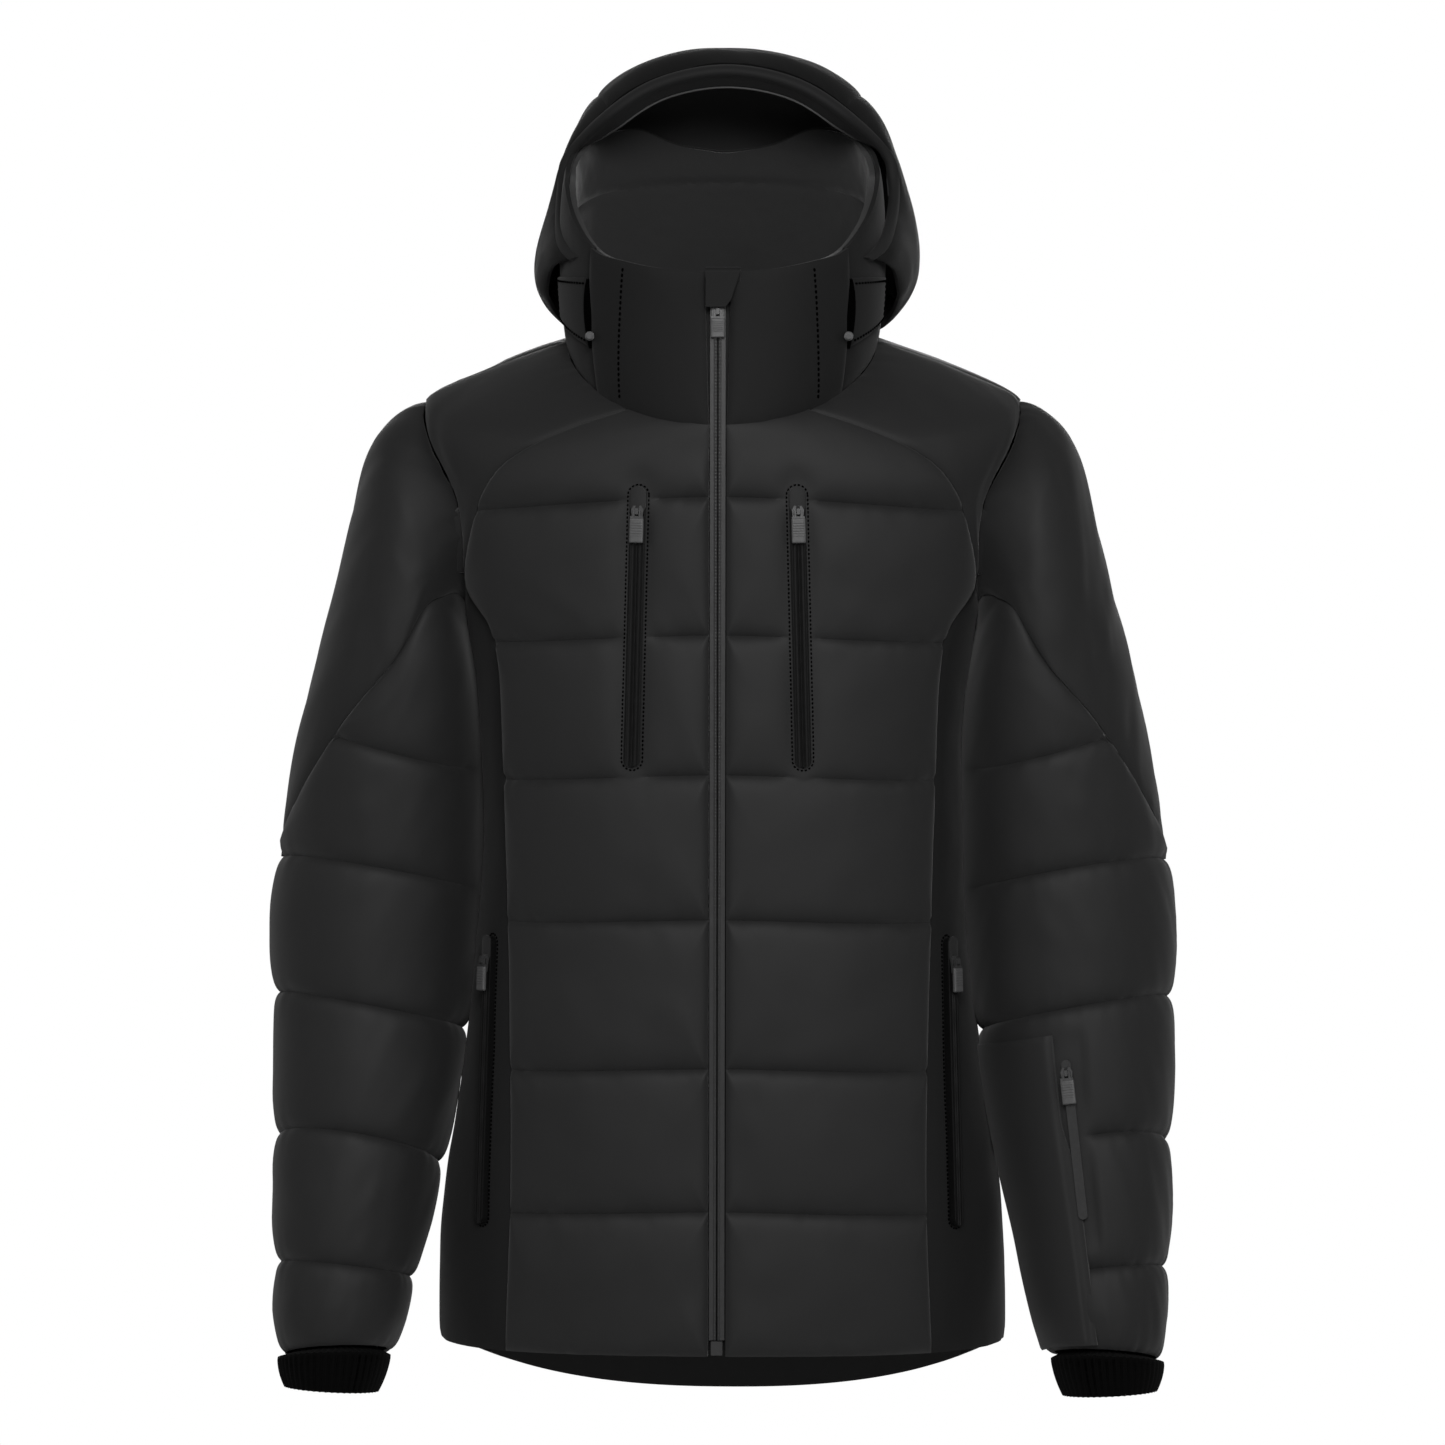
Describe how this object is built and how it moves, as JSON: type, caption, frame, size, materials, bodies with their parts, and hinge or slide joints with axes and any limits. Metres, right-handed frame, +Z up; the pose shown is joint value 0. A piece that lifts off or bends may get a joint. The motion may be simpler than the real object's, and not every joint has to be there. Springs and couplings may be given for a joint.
{
  "type": "ski jacket",
  "caption": "Hooded padded ski jacket, closed and shaped as if worn, with quilted fronts, plain yokes, vertical pocket zips, a sleeve pocket and knitted wrist gaiters.",
  "frame": {"origin": "middle of the underside of the hanger loop's bar, behind the neck, where a hook bears", "axes": "+Z up, -Y towards the jacket's front, +X towards the wearer's left"},
  "size_m": [0.674, 0.3155, 1.0253],
  "materials": {
    "shell": "matte stretch weave with a water repellent finish",
    "lining": "smooth taffeta",
    "fleece": "brushed soft fleece",
    "knit": "stretch knit",
    "zip_tape": "satin water resistant coating",
    "gunmetal": "dark satin metal",
    "moulded": "moulded, fine grain"
  },
  "bodies": {
    "torso": {"front_panel_left": "shell", "front_yoke_left": "shell", "side_panel_left": "shell", "front_panel_right": "shell", "front_yoke_right": "shell", "side_panel_right": "shell", "back_panel": "shell", "back_yoke": "shell", "lining_front_left": "lining", "chest_pocket_left": "lining", "hand_pocket_left": "lining", "lining_front_right": "lining", "chest_pocket_right": "lining", "hand_pocket_right": "lining", "lining_back": "lining", "snow_skirt": "lining", "collar_front_left": "shell", "collar_front_right": "shell", "collar_back": "shell", "collar_lining": "fleece", "collar_tab_left": "shell", "collar_tab_right": "shell", "cord_lock_left": "moulded", "cord_lock_right": "moulded", "hanger_loop": "moulded", "zip_tape_left": "zip_tape", "zip_tape_right": "zip_tape", "zip_box": "moulded", "chin_guard": "shell", "chest_zip_left": "zip_tape", "chest_zip_right": "zip_tape", "hand_zip_left": "zip_tape", "hand_zip_right": "zip_tape"},
    "hood": {"hood_centre": "shell", "hood_side_left": "shell", "hood_side_right": "shell", "hood_brim": "shell", "hood_lining": "lining"},
    "sleeve_left": {"sleeve_upper_left": "shell", "sleeve_lower_left": "shell", "sleeve_lining_left": "lining", "wrist_gaiter_left": "knit", "sleeve_pocket_left": "shell", "pass_zip": "zip_tape"},
    "sleeve_right": {"sleeve_upper_right": "shell", "sleeve_lower_right": "shell", "sleeve_lining_right": "lining", "wrist_gaiter_right": "knit"},
    "pass_slider": {"pass_slider": "gunmetal"},
    "pass_pull": {"pass_pull": "gunmetal"},
    "main_slider": {"main_slider": "gunmetal"},
    "main_pull": {"main_pull": "gunmetal"},
    "chest_left_slider": {"chest_left_slider": "gunmetal"},
    "chest_left_pull": {"chest_left_pull": "gunmetal"},
    "chest_right_slider": {"chest_right_slider": "gunmetal"},
    "chest_right_pull": {"chest_right_pull": "gunmetal"},
    "hand_left_slider": {"hand_left_slider": "gunmetal"},
    "hand_left_pull": {"hand_left_pull": "gunmetal"},
    "hand_right_slider": {"hand_right_slider": "gunmetal"},
    "hand_right_pull": {"hand_right_pull": "gunmetal"}
  },
  "joints": [
    {"name": "hood_fold", "type": "hinge", "parent": "torso", "child": "hood", "pos_m": [0, 0.034, -0.012], "axis": [-1, 0, 0], "range_deg": [0, 85]},
    {"name": "sleeve_left_lift", "type": "hinge", "parent": "torso", "child": "sleeve_left", "pos_m": [0.221, -0.063, -0.073], "axis": [0, -1, 0], "range_deg": [0, 40]},
    {"name": "sleeve_right_lift", "type": "hinge", "parent": "torso", "child": "sleeve_right", "pos_m": [-0.221, -0.063, -0.073], "axis": [0, 1, 0], "range_deg": [0, 40]},
    {"name": "pass_zip_slide", "type": "slide", "parent": "sleeve_left", "child": "pass_slider", "axis": [0.1136, -0.1174, -0.9866], "range_m": [0, 0.0973]},
    {"name": "pass_pull_swing", "type": "hinge", "parent": "pass_slider", "child": "pass_pull", "pos_m": [0.25414, -0.15843, -0.55996], "axis": [-0.9741, 0.1822, -0.1338], "range_deg": [0, 110]},
    {"name": "main_zip_slide", "type": "slide", "parent": "torso", "child": "main_slider", "axis": [0, -0.0483, -0.9988], "range_m": [0, 0.7364]},
    {"name": "main_pull_swing", "type": "hinge", "parent": "main_slider", "child": "main_pull", "pos_m": [0, -0.18448, -0.00328], "axis": [-1, 0, 0], "range_deg": [0, 110]},
    {"name": "chest_left_zip_slide", "type": "slide", "parent": "torso", "child": "chest_left_slider", "axis": [0.0246, -0.0453, -0.9987], "range_m": [0, 0.1753]},
    {"name": "chest_left_pull_swing", "type": "hinge", "parent": "chest_left_slider", "child": "chest_left_pull", "pos_m": [0.05819, -0.19196, -0.14718], "axis": [-0.9918, -0.1262, -0.0187], "range_deg": [0, 110]},
    {"name": "chest_right_zip_slide", "type": "slide", "parent": "torso", "child": "chest_right_slider", "axis": [-0.0246, -0.0453, -0.9987], "range_m": [0, 0.1753]},
    {"name": "chest_right_pull_swing", "type": "hinge", "parent": "chest_right_slider", "child": "chest_right_pull", "pos_m": [-0.05819, -0.19196, -0.14718], "axis": [-0.9918, 0.1262, 0.0187], "range_deg": [0, 110]},
    {"name": "hand_left_zip_slide", "type": "slide", "parent": "torso", "child": "hand_left_slider", "axis": [0.0283, -0.1236, -0.9919], "range_m": [0, 0.1837]},
    {"name": "hand_left_pull_swing", "type": "hinge", "parent": "hand_left_slider", "child": "hand_left_pull", "pos_m": [0.17455, -0.14455, -0.47938], "axis": [-0.603, -0.7935, 0.0816], "range_deg": [0, 110]},
    {"name": "hand_right_zip_slide", "type": "slide", "parent": "torso", "child": "hand_right_slider", "axis": [-0.0283, -0.1236, -0.9919], "range_m": [0, 0.1837]},
    {"name": "hand_right_pull_swing", "type": "hinge", "parent": "hand_right_slider", "child": "hand_right_pull", "pos_m": [-0.17455, -0.14455, -0.47938], "axis": [-0.603, 0.7935, -0.0816], "range_deg": [0, 110]}
  ]
}
